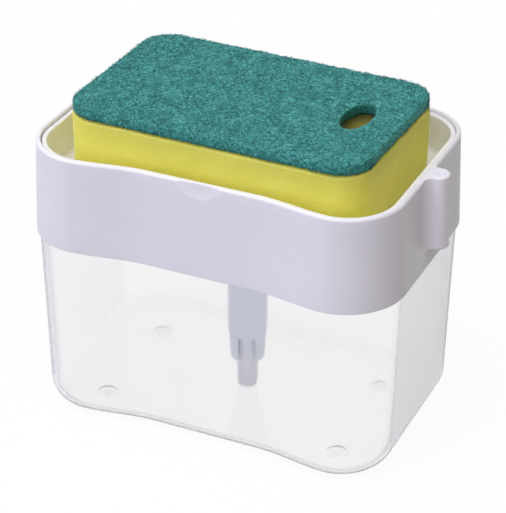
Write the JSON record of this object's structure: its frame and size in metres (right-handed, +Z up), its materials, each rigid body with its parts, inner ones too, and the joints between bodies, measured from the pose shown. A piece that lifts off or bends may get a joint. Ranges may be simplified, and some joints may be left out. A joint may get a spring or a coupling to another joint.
{
  "type": "dish soap dispenser",
  "caption": "Countertop soap dispenser: clear waisted reservoir, white collar with a side lug, and a spring-loaded sponge tray that pumps soap up into the sponge when pressed.",
  "frame": {"origin": "on the ground, under the middle of the whole object's length and depth; the feet stand on z = 0", "axes": "+X to the object's right along its length, towards the lug; +Y to its back; +Z up along the pump"},
  "size_m": [0.1434, 0.0934, 0.119],
  "materials": {
    "clear_plastic": "clear, moulded, glossy",
    "clear_rubber": "clear soft pad",
    "white_plastic": "smooth, satin gloss",
    "pump_plastic": "milky, moulded",
    "soft_plastic": "soft, waxy",
    "seal_rubber": "dull",
    "steel": "bright drawn wire and polished balls",
    "yellow_foam": "open-cell foam",
    "green_pad": "coarse fibre pad"
  },
  "bodies": {
    "tank": {"reservoir": "clear_plastic", "foot_front_left": "clear_rubber", "foot_front_right": "clear_rubber", "foot_rear_left": "clear_rubber", "foot_rear_right": "clear_rubber"},
    "top": {"collar": "white_plastic", "pump_barrel": "pump_plastic", "pump_gasket": "seal_rubber", "pump_nut": "white_plastic", "stem_guide": "white_plastic", "ball_cage": "pump_plastic", "dip_tube": "pump_plastic", "return_spring": "steel"},
    "plunger": {"pump_stem": "white_plastic", "piston": "soft_plastic"},
    "tray": {"sponge_tray": "white_plastic", "outlet_cap": "white_plastic"},
    "sponge": {"sponge_foam": "yellow_foam", "scouring_pad": "green_pad"},
    "inlet_valve": {"inlet_ball": "steel"},
    "outlet_valve": {"outlet_ball": "steel"}
  },
  "joints": [
    {"name": "collar_lift", "type": "slide", "parent": "tank", "child": "top", "axis": [0, 0, 1], "range_m": [0, 0.09]},
    {"name": "pump_press", "type": "slide", "parent": "top", "child": "plunger", "axis": [0, 0, -1], "range_m": [0, 0.008], "stiffness_N_per_m": 500, "springref_m": -0.008, "deforming": ["return_spring"]},
    {"name": "tray_lift", "type": "slide", "parent": "plunger", "child": "tray", "axis": [0, 0, 1], "range_m": [0, 0.03]},
    {"name": "sponge_lift", "type": "slide", "parent": "tray", "child": "sponge", "axis": [0, 0, 1], "range_m": [0, 0.04]},
    {"name": "inlet_ball_lift", "type": "slide", "parent": "top", "child": "inlet_valve", "axis": [0, 0, 1], "range_m": [0, 0.0012]},
    {"name": "outlet_ball_lift", "type": "slide", "parent": "plunger", "child": "outlet_valve", "axis": [0, 0, 1], "range_m": [0, 0.0012]}
  ]
}
